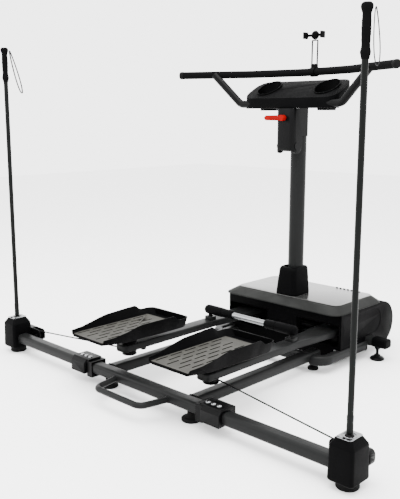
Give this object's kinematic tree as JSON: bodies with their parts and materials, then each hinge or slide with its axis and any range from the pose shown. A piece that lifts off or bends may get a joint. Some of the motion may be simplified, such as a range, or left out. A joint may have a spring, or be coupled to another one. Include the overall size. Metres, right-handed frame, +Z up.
{
  "type": "ski simulator",
  "caption": "Home ski simulator: swinging foot pedals on linked arms, folding outriggers with upright poles, and a tilting console with tray and cup holders on a post.",
  "frame": {"origin": "on the floor, under the middle of the whole object's box", "axes": "+X to the right of a person standing on the pedals, +Y ahead of them towards the housing, +Z up"},
  "size_m": [1.759, 1.3257, 1.3421],
  "materials": {
    "frame_paint": "satin dark grey paint",
    "black_steel": "satin black paint",
    "black_plastic": "fine moulded grain",
    "foot_rubber": "matt",
    "silver_panel": "satin",
    "chrome_steel": "polished",
    "tread_rubber": "matt warm grey",
    "cable_steel": "dark coated",
    "pole_alloy": "dark satin",
    "grip_rubber": "matt",
    "strap_webbing": "woven webbing",
    "bar_steel": "dark foam-look sleeve",
    "red_plastic": "gloss"
  },
  "bodies": {
    "base": {"cross_tube": "frame_paint", "left_rail": "frame_paint", "right_rail": "frame_paint", "rear_crossmember": "frame_paint", "rear_cross_tube": "frame_paint", "pull_handle": "frame_paint", "left_front_foot": "foot_rubber", "right_front_foot": "foot_rubber", "left_mid_foot": "foot_rubber", "right_mid_foot": "foot_rubber", "left_hinge_block": "black_steel", "right_hinge_block": "black_steel", "base_plate": "black_steel", "post": "frame_paint", "post_boot": "black_plastic", "housing_body": "black_plastic", "housing_cover": "black_plastic", "top_panel": "silver_panel", "neck_mount": "black_steel"},
    "left_foot_arm": {"left_arm": "frame_paint"},
    "right_foot_arm": {"right_arm": "frame_paint"},
    "tie_bar": {"tie_rod": "chrome_steel", "left_tie_sleeve": "black_plastic", "right_tie_sleeve": "black_plastic"},
    "left_footplate": {"left_pedal": "black_plastic", "left_tread": "tread_rubber"},
    "left_outrigger": {"left_hinge_collar": "black_steel", "left_outrigger_tube": "frame_paint", "left_end_box": "black_plastic", "left_ball_socket": "chrome_steel", "left_pulley_bracket": "black_steel"},
    "left_pulley_wheel": {"left_pulley": "black_plastic"},
    "left_cable_run": {"left_cable": "cable_steel"},
    "left_pole_knuckle": {"left_pole_ball": "black_steel"},
    "left_ski_pole": {"left_pole_shaft": "pole_alloy", "left_pole_grip": "grip_rubber", "left_wrist_strap": "strap_webbing"},
    "left_leveller": {"left_rear_foot": "black_steel"},
    "right_footplate": {"right_pedal": "black_plastic", "right_tread": "tread_rubber"},
    "right_outrigger": {"right_hinge_collar": "black_steel", "right_outrigger_tube": "frame_paint", "right_end_box": "black_plastic", "right_ball_socket": "chrome_steel", "right_pulley_bracket": "black_steel"},
    "right_pulley_wheel": {"right_pulley": "black_plastic"},
    "right_cable_run": {"right_cable": "cable_steel"},
    "right_pole_knuckle": {"right_pole_ball": "black_steel"},
    "right_ski_pole": {"right_pole_shaft": "pole_alloy", "right_pole_grip": "grip_rubber", "right_wrist_strap": "strap_webbing"},
    "right_leveller": {"right_rear_foot": "black_steel"},
    "console": {"neck_channel": "black_steel", "tray": "black_plastic", "handlebar": "bar_steel", "handlebar_support": "frame_paint", "phone_stand": "black_plastic"},
    "clamp_lever": {"lock_lever": "red_plastic"},
    "phone_head": {"phone_hub": "black_plastic"},
    "phone_slider": {"phone_jaw": "black_plastic"}
  },
  "joints": [
    {"name": "left_arm_swing", "type": "hinge", "parent": "base", "child": "left_foot_arm", "pos_m": [-0.2155, 0.3495, 0.136], "axis": [0, 0, 1], "range_deg": [-10, 10]},
    {"name": "right_arm_swing", "type": "hinge", "parent": "base", "child": "right_foot_arm", "pos_m": [0.2155, 0.3495, 0.136], "axis": [0, 0, 1], "range_deg": [-10, 10]},
    {"name": "tie_rod_pivot", "type": "hinge", "parent": "left_foot_arm", "child": "tie_bar", "pos_m": [-0.2155, 0.0395, 0.192], "axis": [0, 0, 1], "range_deg": [-10, 10]},
    {"name": "left_pedal_swivel", "type": "hinge", "parent": "left_foot_arm", "child": "left_footplate", "pos_m": [-0.2155, -0.4125, 0.163], "axis": [0, 0, 1], "range_deg": [-10, 10]},
    {"name": "left_outrigger_fold", "type": "hinge", "parent": "base", "child": "left_outrigger", "pos_m": [-0.348, -0.4875, 0.075], "axis": [0, 0, -1], "range_deg": [0, 90]},
    {"name": "left_pulley_spin", "type": "hinge", "parent": "left_outrigger", "child": "left_pulley_wheel", "pos_m": [-0.768, -0.4597, 0.066], "axis": [0, 1, 0], "range_deg": [-350, 350]},
    {"name": "left_cable_travel", "type": "slide", "parent": "left_outrigger", "child": "left_cable_run", "axis": [1, 0, 0], "range_m": [-0.14, 0.14], "deforming": ["left_cable"]},
    {"name": "left_pole_lean", "type": "hinge", "parent": "left_outrigger", "child": "left_pole_knuckle", "pos_m": [-0.837, -0.5205, 0.141], "axis": [1, 0, 0], "range_deg": [-20, 20], "stiffness_Nm_per_rad": 12},
    {"name": "left_pole_sway", "type": "hinge", "parent": "left_pole_knuckle", "child": "left_ski_pole", "pos_m": [-0.837, -0.5205, 0.141], "axis": [0, 1, 0], "range_deg": [-8, 20], "stiffness_Nm_per_rad": 12},
    {"name": "left_leveller_turn", "type": "hinge", "parent": "base", "child": "left_leveller", "pos_m": [-0.345, 0.4645, 0.04], "axis": [0, 0, 1], "continuous": true},
    {"name": "right_pedal_swivel", "type": "hinge", "parent": "right_foot_arm", "child": "right_footplate", "pos_m": [0.2155, -0.4125, 0.163], "axis": [0, 0, 1], "range_deg": [-10, 10]},
    {"name": "right_outrigger_fold", "type": "hinge", "parent": "base", "child": "right_outrigger", "pos_m": [0.348, -0.4875, 0.075], "axis": [0, 0, 1], "range_deg": [0, 90]},
    {"name": "right_pulley_spin", "type": "hinge", "parent": "right_outrigger", "child": "right_pulley_wheel", "pos_m": [0.768, -0.4597, 0.066], "axis": [0, 1, 0], "range_deg": [-350, 350]},
    {"name": "right_cable_travel", "type": "slide", "parent": "right_outrigger", "child": "right_cable_run", "axis": [1, 0, 0], "range_m": [-0.14, 0.14], "deforming": ["right_cable"]},
    {"name": "right_pole_lean", "type": "hinge", "parent": "right_outrigger", "child": "right_pole_knuckle", "pos_m": [0.837, -0.5205, 0.141], "axis": [1, 0, 0], "range_deg": [-20, 20], "stiffness_Nm_per_rad": 12},
    {"name": "right_pole_sway", "type": "hinge", "parent": "right_pole_knuckle", "child": "right_ski_pole", "pos_m": [0.837, -0.5205, 0.141], "axis": [0, -1, 0], "range_deg": [-8, 20], "stiffness_Nm_per_rad": 12},
    {"name": "right_leveller_turn", "type": "hinge", "parent": "base", "child": "right_leveller", "pos_m": [0.345, 0.4645, 0.04], "axis": [0, 0, 1], "continuous": true},
    {"name": "console_tilt", "type": "hinge", "parent": "base", "child": "console", "pos_m": [0, 0.2745, 0.882], "axis": [1, 0, 0], "range_deg": [0, 95]},
    {"name": "lock_lever_turn", "type": "hinge", "parent": "console", "child": "clamp_lever", "pos_m": [0, 0.2295, 0.996], "axis": [0, 1, 0], "range_deg": [-90, 0]},
    {"name": "phone_head_tilt", "type": "hinge", "parent": "console", "child": "phone_head", "pos_m": [0.057, 0.36191, 1.3241], "axis": [1, 0, 0], "range_deg": [-35, 35]},
    {"name": "phone_jaw_slide", "type": "slide", "parent": "phone_head", "child": "phone_slider", "axis": [1, 0, 0], "range_m": [0, 0.012], "stiffness_N_per_m": 120}
  ],
  "couplings": [
    {"joint": "right_arm_swing", "follows": "left_arm_swing", "ratio": 1},
    {"joint": "tie_rod_pivot", "follows": "left_arm_swing", "ratio": -1},
    {"joint": "left_pulley_spin", "follows": "left_arm_swing", "ratio": 34.6},
    {"joint": "left_cable_travel", "follows": "left_arm_swing", "m_per_rad": 0.762},
    {"joint": "right_pulley_spin", "follows": "left_arm_swing", "ratio": 34.6},
    {"joint": "right_cable_travel", "follows": "left_arm_swing", "m_per_rad": 0.762}
  ]
}
